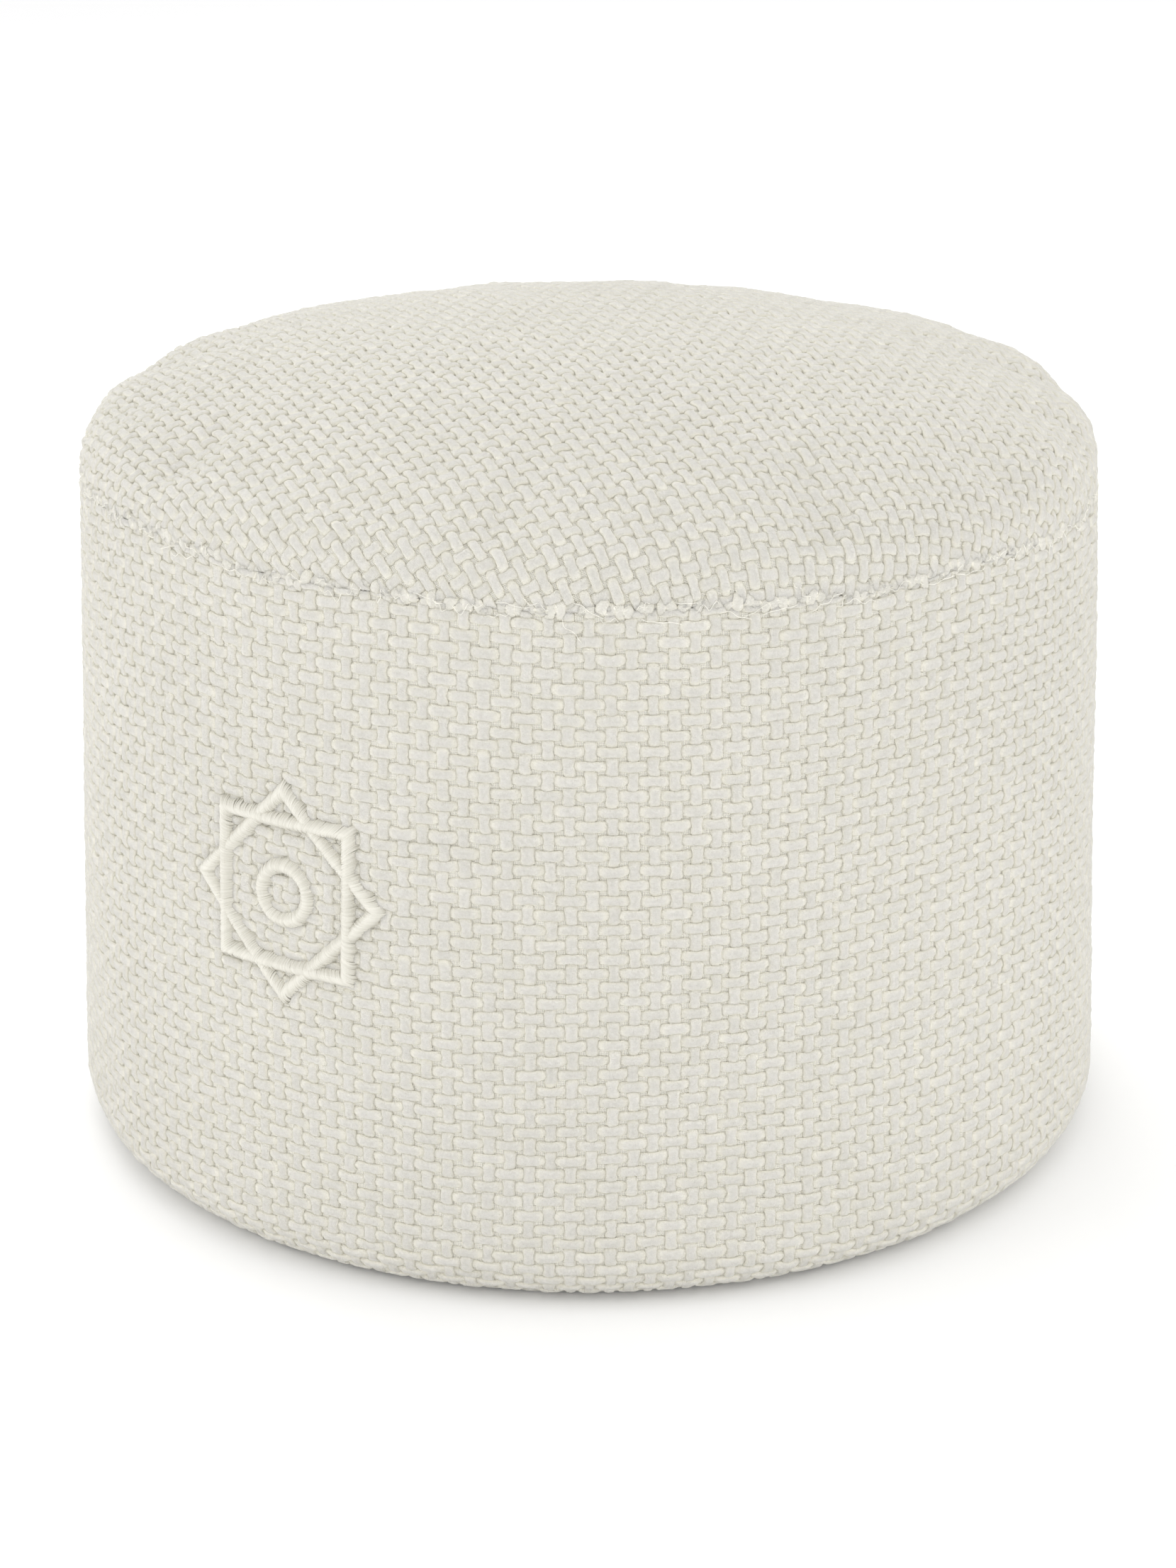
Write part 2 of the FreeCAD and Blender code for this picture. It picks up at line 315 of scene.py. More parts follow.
def billow():
    """How far pressure and slack cloth move the cover out, on a grid of turn and reach.

    The cloth is held at its seams and cut a little too large beside them. The even part of
    the swelling is taken off again, because the CAD form already has it."""
    turns = np.linspace(0, 2 * math.pi, CLOTH_COLUMNS, endpoint=False)
    reaches = np.concatenate([
        np.linspace(0, SEAM_REACH, CLOTH_TOP_ROWS + 1)[1:],
        np.linspace(SEAM_REACH, LENGTH, CLOTH_SIDE_ROWS + 1)[1:],
    ])
    grid_turn, grid_reach = np.meshgrid(turns, reaches, indexing="ij")
    rest = lathe(grid_turn, grid_reach)
    normal = normals_of(rest)
    ripple = waves(grid_turn, 3, (5, 7, 9, 13, 17))
    ripple = ripple * np.sin(grid_reach / 21 + 2 * np.sin(grid_turn * 3))
    start = rest + normal * START_RIPPLE * ripple[..., None]
    rows, columns = grid_turn.shape
    points = np.concatenate([start.transpose(1, 0, 2).reshape(-1, 3), [[0, 0, TOP_Z]]])
    quads = grid_quads(columns, rows, closed=True)
    faces = quads.tolist()
    faces += [[rows * columns, k, (k + 1) % rows] for k in range(rows)]
    mesh = bpy.data.meshes.new("billow")
    mesh.from_pydata((points * MM).tolist(), [], faces)
    cloth = add_object("billow", mesh)
    held = cloth.vertex_groups.new(name="held")
    slack = cloth.vertex_groups.new(name="slack")
    for column, reach in enumerate(reaches):
        members = list(range(column * rows, (column + 1) * rows))
        if abs(reach - SEAM_REACH) < 0.5 or column == columns - 1:
            held.add(members, 1.0, "REPLACE")
        near = math.exp(-abs(reach - SEAM_REACH) / SLACK_FADE)
        slack.add(members, near, "REPLACE")
    modifier = cloth.modifiers.new("cloth", "CLOTH")
    settings = modifier.settings
    settings.quality = 6
    settings.use_pressure = True
    settings.uniform_pressure_force = PRESSURE
    settings.effector_weights.gravity = 0
    settings.vertex_group_mass = "held"
    settings.vertex_group_shrink = "slack"
    settings.shrink_max = -SLACK
    modifier.point_cache.frame_end = CLOTH_FRAMES
    scene = bpy.context.scene
    for step in range(1, CLOTH_FRAMES + 1):
        scene.frame_set(step)
    moved = cloth.evaluated_get(bpy.context.evaluated_depsgraph_get()).to_mesh()
    end = np.zeros(len(moved.vertices) * 3)
    moved.vertices.foreach_get("co", end)
    end = end.reshape(-1, 3)[:-1].reshape(columns, rows, 3).transpose(1, 0, 2) / MM
    cloth.modifiers.clear()
    scene.frame_set(1)
    bpy.data.objects.remove(cloth)
    out = np.clip(np.sum((end - rest) * normal, -1), -MOST_BILLOW, MOST_BILLOW)
    return turns, reaches, out - out.mean(0)


def spread(turns, reaches, field, grid_turn, grid_reach):
    """A coarse field over turn and reach, evened out onto a finer grid."""
    wide_turns = np.concatenate([turns, [2 * math.pi]])
    wide_field = np.concatenate([field, field[:1]])
    at_turn = np.array([
        np.interp(grid_turn, wide_turns, wide_field[:, k]) for k in range(len(reaches))
    ])
    fine = np.array([np.interp(grid_reach, reaches, at_turn[:, k]) for k in range(len(grid_turn))])
    for _ in range(6):
        fine = (np.roll(fine, 1, 0) + 2 * fine + np.roll(fine, -1, 0)) / 4
        padded = np.pad(fine, ((0, 0), (1, 1)), mode="edge")
        fine = (padded[:, :-2] + 2 * fine + padded[:, 2:]) / 4
    return fine


def square_sides(square):
    """Sides of one of the star's two squares, as (start, end) at a radius of 1."""
    angle = np.radians(45 * square + 90 * np.arange(5))
    corners = np.stack([np.cos(angle), np.sin(angle)], -1)
    return list(zip(corners[:-1], corners[1:]))


def star_place(x, y, lift=0.0):
    """Point over the star's own plane, x to the right and y up, lifted off the skin."""
    z = STAR_Z + y
    r = np.interp(-z, -PROFILE_Z, PROFILE_R)
    turn = STAR_AZIMUTH + np.arcsin(x / r)
    reach = np.interp(-z, -PROFILE_Z, REACH)
    return SKIN.at(turn, reach, lift)


class Skin:
    """Outer surface of the cover, a fine grid over turn and reach."""

    TURNS = 900

    def __init__(self):
        self.turns = np.linspace(0, 2 * math.pi, self.TURNS, endpoint=False)
        self.reaches = np.linspace(0, LENGTH, 400)
        turn, reach = np.meshgrid(self.turns, self.reaches, indexing="ij")
        below = SEAM_TILT * np.sin(turn) + SEAM_WANDER * waves(turn, 5, (4, 7, 11))
        drop = below * np.exp(-(((reach - SEAM_REACH) / SEAM_DROP_FADE) ** 2))
        points = lathe(turn, np.clip(reach + drop, 0, LENGTH))
        points[:, 0] = (0, 0, TOP_Z)
        share = np.minimum(reach / (SEAM_REACH - CROWN_EDGE), 1)
        points[..., 2] += CROWN_TILT * np.sin(turn) * share * (1 - share ** 2)
        normal = normals_of(points)
        points = points + normal * self.lift(turn, reach)[..., None]
        both = np.concatenate([points, normals_of(points)], -1)
        self.table = np.concatenate([both, both[:1]])

    def lift(self, turn, reach):
        """How far the skin stands off the plain form: billows, puckers, seams and stitching."""
        lift = spread(*billow(), self.turns, self.reaches)
        from_top = np.abs(reach - SEAM_REACH)
        from_base = np.abs(LENGTH - reach)
        floor_fade = np.clip((LENGTH - reach - 12) / 20, 0, 1)
        lift = lift * floor_fade * np.clip(reach / 30, 0, 1)
        facing = 0.5 + 0.5 * np.cos(turn)
        rise = BACK_SHOULDER_RISE * (1 - facing) * (1 + 0.4 * np.sin(turn))
        shoulder = np.exp(-(((reach - SEAM_REACH + SHOULDER_MIDDLE) / SHOULDER_SPREAD) ** 2))
        lift += (rise - FRONT_SHOULDER_FALL * facing) * shoulder
        pucker = waves(turn, 8, (31, 37, 44, 53, 61, 73), 0.2)
        pucker = pucker * (0.6 + 0.4 * waves(turn, 9, (3, 5)))
        lift += PUCKER_HEIGHT * pucker * np.exp(-from_top / PUCKER_FADE)
        radius = np.interp(reach, REACH, PROFILE_R)
        back = (math.pi - np.abs((turn + math.pi) % (2 * math.pi) - math.pi)) * radius
        back = np.where(reach > SEAM_REACH, back, SEAM_HALF_WIDTH)
        seams = ((from_top, SEAM_DEPTH), (from_base, BASE_SEAM_DEPTH), (back, SEAM_DEPTH))
        for away, depth in seams:
            lift -= depth * np.clip(1 - away / SEAM_HALF_WIDTH, 0, 1) ** 2
        lift -= STITCH_PULL * self.stitched(turn, reach)
        return lift

    def stitched(self, turn, reach):
        """1 along the star's columns, falling to 0 a few millimetres away."""
        r = np.interp(reach, REACH, PROFILE_R)
        bearing = (turn - STAR_AZIMUTH + math.pi) % (2 * math.pi) - math.pi
        x = r * np.sin(bearing)
        y = np.interp(reach, REACH, PROFILE_Z) - STAR_Z
        away = np.full(turn.shape, 99.0)
        middle = STAR_RADIUS - STAR_COLUMN / math.sqrt(2)
        for start, end in square_sides(0) + square_sides(1):
            ax, ay = middle * start
            dx, dy = middle * (end - start)
            share = np.clip(((x - ax) * dx + (y - ay) * dy) / (dx ** 2 + dy ** 2), 0, 1)
            away = np.minimum(away, np.hypot(x - ax - share * dx, y - ay - share * dy))
        away = np.minimum(away, np.abs(np.hypot(x, y) - RING_RADIUS))
        pulled = np.exp(-((away / STITCH_PULL_REACH) ** 4))
        return np.where(np.cos(bearing) > 0, pulled, 0)

    def at(self, turn, reach, lift=0.0):
        """Points on the skin, moved along its normals by lift."""
        turn, reach, lift = np.broadcast_arrays(turn, reach, lift)
        column = (turn % (2 * math.pi)) / (2 * math.pi) * self.TURNS
        row = np.clip(reach / LENGTH, 0, 1) * (len(self.reaches) - 1)
        c = np.clip(column.astype(int), 0, self.TURNS - 1)
        r = np.minimum(row.astype(int), len(self.reaches) - 2)
        u = (column - c)[..., None]
        v = (row - r)[..., None]
        table = self.table
        low = table[c, r] * (1 - u) + table[c + 1, r] * u
        high = table[c, r + 1] * (1 - u) + table[c + 1, r + 1] * u
        value = low * (1 - v) + high * v
        return value[..., :3] + value[..., 3:] * lift[..., None]


# ---- the weave

# One period of a yarn is two crossings: over the first, under the second. These are
# the places along it, in crossings, where the yarn has points.
PERIOD = np.array([0, 0.25, 0.45, 0.58, 0.72, 1.0, 1.28, 1.42, 1.55, 1.75])
# A yarn's section, flat on top with rounded shoulders, in shares of its half width and
# half thickness. The underside is open, since nothing can see it.
SECTION = np.array([
    (0.90, -1.0), (1.0, 0.1), (0.66, 0.86), (0, 1.0), (-0.66, 0.86), (-1.0, 0.1), (-0.90, -1.0),
])
# How far each point of the section stands in the light, 1 on its crown and 0 in the crevice.
# The chenille paints light by this: low values get a lighter, yellower colour than the crown, to
# offset the shade in the crevice.
CROWN = np.array([0, 0.2, 0.85, 1, 0.85, 0.2, 0])


def along_lines(table, position):
    """Values of a table (line, crossing) at fractional crossings, smoothly."""
    low = np.clip(np.floor(position).astype(int), 0, table.shape[1] - 2)
    share = np.clip(position - low, 0, 1)
    share = share * share * (3 - 2 * share)
    line = np.arange(table.shape[0])[:, None]
    return table[line, low] * (1 - share) + table[line, low + 1] * share


def fuzzed(side, lift):
    """Sections with each point a little off its place, as cut pile is."""
    return side + random.normal(0, FUZZ, side.shape), lift + random.normal(0, FUZZ, lift.shape)


def yarn_uv(run, shifts):
    """Cloth coordinates along and round each yarn, shifted so that no two look the same."""
    girth = YARN_HALF_GIRTH * np.linspace(-1, 1, len(SECTION))
    girth = np.broadcast_to(girth + shifts[:, None, None], run.shape)
    return np.stack([run, girth], -1).reshape(-1, 2)


def yarns(place, family, lines, span):
    """Yarns of one family over a panel, as (points, quads, uv, values).

    place turns fabric coordinates (p along the wefts, q along the warps) and a lift into
    points and says which lie outside the panel. lines are the yarns' numbers and span the
    first and last crossing on each."""
    weft = family == "weft"
    along_pitch, across_pitch = (WARP_PITCH, WEFT_PITCH) if weft else (WEFT_PITCH, WARP_PITCH)
    half_width, flare = (WEFT_HALF_WIDTH, WEFT_FLARE) if weft else (WARP_HALF_WIDTH, WARP_FLARE)
    lines = np.arange(*lines)
    parity = (lines + (0 if weft else 1)) % 2
    first = 2 * math.floor(span[0] / 2)
    position = (np.arange(first, span[1], 2)[:, None] + PERIOD).ravel()
    position = position[None] + parity[:, None]
    swing = np.cos(math.pi * (position - parity[:, None]))
    shape = np.sin(math.pi / 2 * np.clip(1.2 * swing + 0.3, -1, 1))
    crossings = span[1] - first + 4

    def draw(size):
        return along_lines(random.normal(0, size, (len(lines), crossings)), position - first)

    under = (1 - shape) / 2
    width = half_width * (1 + flare * (1 - swing ** 2) - NIP * under) * (1 + draw(0.07))
    thick = YARN_HALF_THICKNESS * (1 + draw(0.08))
    centre = WEAVE_SWING * shape - WEAVE_INSET + draw(0.09)
    if not weft:
        centre = centre - WARP_SINK
    shift = draw(0.19)
    nearest = np.round((position - parity[:, None]) / 2).astype(int) - first // 2
    tones = random.random((len(lines), crossings))
    tone = tones[np.arange(len(lines))[:, None], np.clip(nearest, 0, crossings - 1)]

    side = shift[..., None] + width[..., None] * SECTION[:, 0]
    lift = centre[..., None] + thick[..., None] * SECTION[:, 1]
    side, lift = fuzzed(side, lift)
    run = np.broadcast_to((position * along_pitch)[..., None], side.shape)
    across = lines[:, None, None] * across_pitch + side
    points, outside = place(run, across, lift) if weft else place(across, run, lift)

    count, steps = position.shape
    quads = grid_quads(steps, len(SECTION), count=count)
    if not weft:
        quads = quads[:, ::-1]
    quads = quads[~outside.reshape(-1)[quads].all(1)]
    values = {
        "tone": np.broadcast_to(tone[..., None], run.shape).ravel(),
        # crest carries painted light: the sides, and the dips under a crossing, get the lighter
        # valley colour.
        "crest": ((shape[..., None] * 0.5 + 0.5) * CROWN).ravel(),
    }
    return points.reshape(-1, 3), quads, yarn_uv(run, lines * across_pitch * 3.0), values


SIDE_HALF = WARP_COUNT * WARP_PITCH / 2


def tucked(lift, beyond):
    """Sinks what would reach past the edge of a panel into its seam."""
    return lift - np.clip(beyond, 0, MOST_TUCK)


def side_place(p, q, lift):
    """The side band: p runs round it from the front, q down from the top seam.

    Sway, skew and drift let the yarns wander as hand-fitted cloth does."""
    turn = p / SIDE_HALF * math.pi
    down = q / (LENGTH - SEAM_REACH)
    sway = np.sin(5 * turn + 3 * down) * np.sin(math.pi * np.clip(down, 0, 1))
    turn = turn + 0.007 * sway * np.clip(1.02 * math.pi - np.abs(turn), 0, 0.2) / 0.2
    skew = 6.0 * np.sin(turn) * np.clip(down - 0.25, 0, 1) ** 1.5
    drift = 0.9 * np.sin(3 * turn + 5 * down) + 0.6 * np.sin(8 * turn - 4 * down)
    reach = SEAM_REACH + q + skew + drift - 1.5 * np.sin(turn) * np.exp(-down * 3)
    beyond = np.maximum(SEAM_REACH - reach, reach - LENGTH)
    beyond = np.maximum(beyond, (np.abs(turn) / math.pi - 1) * SIDE_HALF)
    turn = np.clip(turn, -math.pi + 1e-5, math.pi - 1e-5)
    return SKIN.at(turn, np.clip(reach, SEAM_REACH, LENGTH), tucked(lift, beyond)), beyond > 0


def top_place(p, q, lift):
    """The top panel, cut flat: its wefts run at TOP_WEFT_ANGLE to the X axis and wander."""
    p = p + 0.8 * np.sin(q / 31) + 0.5 * np.sin(p / 23 + q / 40)
    q = q + 0.7 * np.sin(p / 37 + 1) + 0.4 * np.sin(p / 17 - q / 29)
    x = p * math.cos(TOP_WEFT_ANGLE) - q * math.sin(TOP_WEFT_ANGLE)
    y = p * math.sin(TOP_WEFT_ANGLE) + q * math.cos(TOP_WEFT_ANGLE)
    reach = np.hypot(x, y)
    beyond = reach - SEAM_REACH
    inside = np.minimum(reach, SEAM_REACH)
    return SKIN.at(np.arctan2(x, -y), inside, tucked(lift, beyond)), beyond > 0


def base_height(x, y):
    """Height of the base's outer surface: flat, turned up along the zip's slot and the rim."""
    beside_zip = np.where(np.abs(x) < SLOT_HALF_LENGTH + 2, np.abs(y) - SLOT_HALF_WIDTH, 99)
    from_rim = PANEL_RADIUS - np.hypot(x, y)
    near_zip = np.clip(1 - beside_zip / 3.5, 0, 1) ** 2
    near_rim = np.clip(1 - from_rim / SEAM_HALF_WIDTH, 0, 1) ** 2
    return BASE_CLEARANCE + 1.3 * near_zip + 1.4 * near_rim


def base_place(side):
    """Placing function of the base panel in front of (side -1) or behind (side 1) the zip."""
    def place(p, q, lift):
        x = p + 0.6 * np.sin(q / 33)
        y = q + 0.6 * np.sin(p / 41)
        from_end = SLOT_HALF_LENGTH - np.abs(x)
        from_side = SLOT_HALF_WIDTH - side * y
        in_slot = np.minimum(from_end, from_side)
        beyond = np.maximum(np.maximum(in_slot, -side * y), np.hypot(x, y) - PANEL_RADIUS)
        to_end = (in_slot > 0) & (from_end < from_side)
        to_side = (in_slot > 0) & ~to_end
        x = np.where(to_end, np.sign(x) * SLOT_HALF_LENGTH, x)
        y = side * np.maximum(np.where(to_side, SLOT_HALF_WIDTH, side * y), 0)
        shrink = np.minimum(1, PANEL_RADIUS / np.maximum(np.hypot(x, y), 1))
        x, y = x * shrink, y * shrink
        z = base_height(x, y) - tucked(lift, beyond)
        return np.stack([x, y, z], -1), beyond > 0
    return place


def weave(name, place, warps, wefts, parts):
    """Builds the yarns of one panel, each family in a number of parts."""
    made = []
    for family, lines, span in (("warp", warps, wefts), ("weft", wefts, warps)):
        cuts = np.linspace(lines[0], lines[1], parts + 1).astype(int)
        for number, (low, high) in enumerate(zip(cuts[:-1], cuts[1:])):
            piece = yarns(place, family, (low, high), span)
            made.append(add_mesh(f"{name}_{family}_{number + 1}", *piece))
    return made


def scattered(count, angles, half_lengths, reach):
    """Placing function for short strands strewn along the top seam.

    angles turn each strand away from the line of reach."""
    turns = (np.arange(count) + random.uniform(-0.3, 0.3, count)) * 2 * math.pi / count
    cos, sin = np.cos(angles)[:, None, None], np.sin(angles)[:, None, None]
    radius = float(np.interp(SEAM_REACH, REACH, PROFILE_R))

    def place(share, side, lift):
        along = share * half_lengths[:, None, None]
        around = along * sin + side * cos
        down = along * cos - side * sin
        return SKIN.at(turns[:, None, None] + around / radius, reach[:, None, None] + down, lift)
    return place


def seam_ends(name):
    """Cut ends of the top's yarns, bunched along the top seam at all angles."""
    count = int(2 * math.pi * BASE_RADIUS / SEAM_END_SPACING)
    angles = random.uniform(-SEAM_END_TURN, SEAM_END_TURN, count)
    half_lengths = random.uniform(*SEAM_END_HALF_LENGTHS, count)
    reach = SEAM_REACH - 0.4 + random.normal(0, 0.6, count)
    place = scattered(count, angles, half_lengths, reach)
    share = np.linspace(-1, 1, 9)[:, None]
    size = random.uniform(0.8, 1.15, count)[:, None, None]
    height = random.normal(-0.66, 0.12, count)[:, None, None]
    sunk = np.abs(share) ** 3
    side = WARP_HALF_WIDTH * size * (1 - 0.3 * sunk) * SECTION[:, 0]
    lift = height - 1.1 * sunk + YARN_HALF_THICKNESS * size * SECTION[:, 1]
    points = place(share, *fuzzed(side, lift))
    quads = grid_quads(len(share), len(SECTION), count=count)[:, ::-1]
    run = np.broadcast_to(share * 2.2, side.shape)
    uv = yarn_uv(run, np.arange(count) * 7.3)
    tone = np.broadcast_to(random.random(count)[:, None, None], run.shape)
    # Sunk ends get a low crest, and so the painted light of the lighter valley colour.
    crest = np.broadcast_to(0.75 * (1 - sunk) * CROWN, run.shape)
    values = {"tone": tone.ravel(), "crest": crest.ravel()}
    return add_mesh(name, points.reshape(-1, 3), quads, uv, values)


def loose_threads(name):
    """Fine binder threads pulled out along the top seam."""
    count = WISP_COUNT
    angles = random.normal(math.pi / 2, 0.35, count)
    half_lengths = random.uniform(*WISP_HALF_LENGTHS, count)
    place = scattered(count, angles, half_lengths, SEAM_REACH + random.normal(0.6, 1.2, count))
    share = np.linspace(-1, 1, 13)[None, :, None]
    bend = random.normal(0, 0.5, (count, 1, 2))
    side = bend[..., :1] * np.sin(share * 3) + bend[..., 1:] * np.sin(share * 7 + 1)
    lift = 0.25 - 1.1 * share ** 4 + 0.25 * np.sin(share * 9 + bend[..., :1] * 9)
    paths = place(share, side, lift)[:, :, 0]
    above = place(share, side, lift + 1)[:, :, 0]
    return add_mesh(name, *tubes(paths, above - paths, WISP_RADIUS, sides=5))


SKIN = Skin()
side_warps = (-WARP_COUNT // 2 - 1, WARP_COUNT // 2 + 1)
side_rows = int((LENGTH - SEAM_REACH) / WEFT_PITCH) + 5
side_yarns = weave("side", side_place, side_warps, (-2, side_rows), 3)
top_rows = int(SEAM_REACH / WEFT_PITCH) + 2
top_columns = int(SEAM_REACH / WARP_PITCH) + 2
top_warps, top_wefts = (-top_columns, top_columns), (-top_rows, top_rows)
top_yarns = weave("top", top_place, top_warps, top_wefts, 2)
base_columns = int(PANEL_RADIUS / WARP_PITCH) + 2
base_rows = int(PANEL_RADIUS / WEFT_PITCH) + 2
base_warps = (-base_columns, base_columns)
base_front_yarns = weave("base_front", base_place(-1), base_warps, (-base_rows, 1), 1)
base_back_yarns = weave("base_back", base_place(1), base_warps, (0, base_rows), 1)
top_seam_ends = seam_ends("top_seam_ends")
seam_wisps = loose_threads("top_seam_wisps")


# ---- backing cloth and the cushion


def skin_sheet(name, reaches, inset, count, disc):
    """Cloth that follows the skin: a disc, or a band whose ends meet at the back."""
    turns = np.linspace(-math.pi, math.pi, count, endpoint=not disc)
    reach, turn = np.meshgrid(reaches, turns, indexing="ij")
    points = SKIN.at(turn, reach, -inset).reshape(-1, 3)
    if disc:
        away = turn - TOP_WEFT_ANGLE
        uv = np.stack([reach * np.sin(away), -reach * np.cos(away)], -1).reshape(-1, 2)
    else:
        uv = np.stack([turn * SIDE_HALF / math.pi, reach], -1).reshape(-1, 2)
    return add_mesh(name, points, grid_quads(len(reaches), count, closed=disc), uv)


def base_sheet(name, side):
    """Half disc of cloth beside the zip, meeting the other half past the slot's ends."""
    rim = PANEL_RADIUS + 0.3
    beside = np.linspace(-SLOT_HALF_LENGTH, SLOT_HALF_LENGTH, 150)
    past = np.linspace(SLOT_HALF_LENGTH + 0.1, rim, 12)
    columns = np.concatenate([-past[::-1], beside, past])
    depth, x = np.meshgrid(np.linspace(0, 1, 60), columns, indexing="ij")
    inner = np.where(np.abs(x) > SLOT_HALF_LENGTH + 0.05, 0, SLOT_HALF_WIDTH + 0.2)
    outer = np.sqrt(np.maximum(rim ** 2 - x ** 2, 0.01))
    y = side * (inner + depth * (outer - inner))
    z = base_height(x, y) + BACKING_INSET
    uv = np.stack([x, y], -1).reshape(-1, 2)
    quads = grid_quads(*x.shape)
    return add_mesh(name, np.stack([x, y, z], -1).reshape(-1, 3), quads[:, ::side], uv)


def cushion_core():
    """The stuffed liner: follows the skin further in, with a flat base clear of the zip."""
    turns = np.linspace(-math.pi, math.pi, 240, endpoint=False)
    reaches = np.linspace(1.5, LENGTH, 150)
    reach, turn = np.meshgrid(reaches, turns, indexing="ij")
    near_base = np.clip((reach - LENGTH + 24) / 24, 0, 1)
    points = SKIN.at(turn, reach, -(CORE_INSET + 1.7 * near_base))
    floor_z = points[-1, :, 2].mean()
    share = np.linspace(1, 0.01, 30)[1:, None]
    inner = points[-1] * share[..., None]
    inner[..., 2] = floor_z + 0.4 * (1 - share)
    points = np.concatenate([points, inner])
    uv = np.stack([points[..., 0] + points[..., 1], points[..., 2]], -1).reshape(-1, 2)
    quads = grid_quads(points.shape[0], points.shape[1], closed=True)
    return add_mesh("stuffed_liner", points.reshape(-1, 3), quads, uv)


core = cushion_core()
side_reaches = np.linspace(SEAM_REACH, LENGTH, 110)
top_reaches = np.linspace(0.5, SEAM_REACH, 90)
backing_side = skin_sheet("backing_side", side_reaches, BACKING_INSET, 360, disc=False)
backing_top = skin_sheet("backing_top", top_reaches, BACKING_INSET, 360, disc=True)
backing_base_front = base_sheet("backing_base_front", -1)
backing_base_back = base_sheet("backing_base_back", 1)


# ---- embroidery


COLUMN_SHARE = np.linspace(0, 1, 9)
COLUMN_ARCH = np.sin(math.pi * COLUMN_SHARE) ** 0.55


def column_grid(starts, ends):
    """Points from starts to ends in the star's plane."""
    share = COLUMN_SHARE[:, None]
    return starts[:, None] * (1 - share) + ends[:, None] * share


def satin(starts, ends, crown, seat):
    """Satin threads from starts to ends in the star's plane, arched over the padding."""
    count = len(starts)
    jitter = random.normal(0, 0.13, (2, count, 1))
    direction = (ends - starts) / np.linalg.norm(ends - starts, axis=1, keepdims=True)
    starts = starts - direction * jitter[0]
    ends = ends + direction * jitter[1]
    flat = column_grid(starts, ends)
    lift = seat + (crown - seat) * COLUMN_ARCH + random.normal(0, 0.025, (count, 1))
    return laid(star_place, flat[..., 0], flat[..., 1], lift, THREAD_RADIUS)


def padding(starts, ends, crown, seat):
    """Smooth strip under the satin threads, so that no weave shows."""
    flat = column_grid(starts, ends)
    points = star_place(flat[..., 0], flat[..., 1], seat + (crown - seat) * COLUMN_ARCH)
    points = points.reshape(-1, 3)
    values = {"tone": np.full(len(points), 0.5), "crest": np.ones(len(points))}
    return points, grid_quads(*flat.shape[:2]), flat.reshape(-1, 2), values


def embroider(name, outlines):
    """One object of satin columns; each outline is (inner edge, outer edge, extra height)."""
    parts = []
    for inner, outer, extra in outlines:
        crown = SATIN_CROWN + extra
        parts.append(satin(inner, outer, crown, SATIN_SEAT))
        parts.append(padding(inner, outer, crown - PADDING_GAP, PADDING_SEAT))
    return add_mesh(name, *stack(parts))


def square_outlines():
    """Edges of the eight mitred columns of the star."""
    outlines = []
    inner_radius = STAR_RADIUS - STAR_COLUMN * math.sqrt(2)
    length = STAR_RADIUS * math.sqrt(2)
    share = np.linspace(0.001, 0.999, int(length / THREAD_PITCH))[:, None]
    for square in (0, 1):
        for start, end in square_sides(square):
            line = start * (1 - share) + end * share
            outlines.append((line * inner_radius, line * STAR_RADIUS, SECOND_SQUARE_RISE * square))
    return outlines


def ring_outline():
    """Edges of the round column in the star."""
    count = int(2 * math.pi * (RING_RADIUS + 1) / THREAD_PITCH)
    angle = np.linspace(0, 2 * math.pi, count + 1)
    line = np.stack([np.cos(angle), np.sin(angle)], -1)
    inner, outer = RING_RADIUS - STAR_COLUMN / 2, RING_RADIUS + STAR_COLUMN / 2
    return [(line * inner, line * outer, 0.0)]


star = embroider("star_satin", square_outlines())
star_ring = embroider("star_ring_satin", ring_outline())


# ---- seams and the zip


def stitch_positions(count):
    """Points along a row of stitches, counted in pitches from the middle of the first."""
    return np.arange(count)[:, None] + STITCH_SHARE * STITCH_COVER


def lockstitches(name, turn, reach, lift):
    """Stitches on the skin at the given turns and reaches, dipping into it at their ends."""
    height = lift - 0.5 * (2 * np.abs(STITCH_SHARE)) ** 3
    return add_mesh(name, *laid(SKIN.at, turn, reach, height, SEWING_THREAD_RADIUS))


def ring_stitches(name, reach, lift):
    """Lockstitches in a ring at one reach."""
    radius = float(np.interp(reach, REACH, PROFILE_R))
    count = int(2 * math.pi * radius / STITCH_PITCH)
    return lockstitches(name, stitch_positions(count) * 2 * math.pi / count, reach, lift)


def closing_stitches(name, lift):
    """Lockstitches down the closing seam at the back."""
    end_gap = 4.0
    count = int((LENGTH - SEAM_REACH - 2.5 * end_gap) / STITCH_PITCH)
    reach = SEAM_REACH + end_gap + (stitch_positions(count) + 0.5) * STITCH_PITCH
    return lockstitches(name, math.pi, reach, lift)


def zip_row(side):
    """The row of stitches that holds one tape of the zip."""
    count = int(2 * SLOT_HALF_LENGTH / ZIP_STITCH_PITCH)
    middle = side * (STITCH_HIGH[1] - (STITCH_HIGH[2] - STITCH_LOW[2]) / 2)
    x = -SLOT_HALF_LENGTH + (stitch_positions(count) + 0.5) * ZIP_STITCH_PITCH
    z = np.broadcast_to(STITCH_HIGH[2] - 0.3 + 0.3 * (2 * np.abs(STITCH_SHARE)) ** 3, x.shape)
    paths = np.stack([x, np.full(x.shape, middle), z], -1)
    return tubes(paths, np.broadcast_to([0.0, 0.0, -1.0], paths.shape), ZIP_THREAD_RADIUS)


